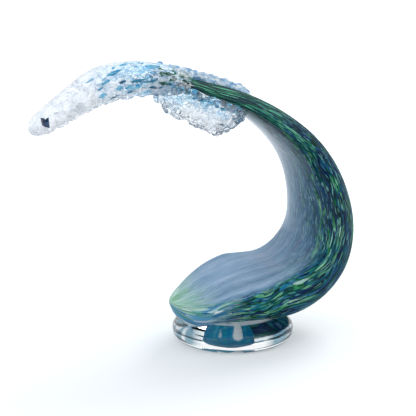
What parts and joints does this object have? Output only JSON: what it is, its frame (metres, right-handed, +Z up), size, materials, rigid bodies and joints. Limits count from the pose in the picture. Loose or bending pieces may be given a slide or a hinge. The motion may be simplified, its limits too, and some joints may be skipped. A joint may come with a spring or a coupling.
{
  "type": "glass wave sculpture",
  "caption": "Hot-worked glass wave sculpture: a streaked blue-green wave rises from a clear disc foot and curls over into a clear, crackled foam crest.",
  "frame": {"origin": "centre of the flat ground face under the clear foot", "axes": "+Z up, the wave's wall stands towards +X and its crest reaches over towards -X, the side with the hanging foam is -Y"},
  "size_m": [0.3426, 0.1268, 0.2977],
  "materials": {
    "clear_glass": "clear polished",
    "streaked_glass": "streaked green and blue",
    "foam_glass": "clear crackled",
    "aqua_glass": "aqua crackled",
    "blue_glass": "blue polished",
    "teal_glass": "teal polished",
    "green_glass": "olive polished",
    "cobalt_glass": "navy polished"
  },
  "bodies": {
    "root": {"clear_foot": "clear_glass", "wave_body": "streaked_glass", "crest_spout": "clear_glass", "foam_curtain": "foam_glass", "foam_ridge": "foam_glass", "ridge_beads": "blue_glass", "spout_frit_clear": "foam_glass", "curtain_frit_clear": "foam_glass", "aqua_frit": "aqua_glass", "green_knuckles": "green_glass", "teal_canes": "teal_glass", "cobalt_chip": "cobalt_glass"}
  },
  "joints": []
}
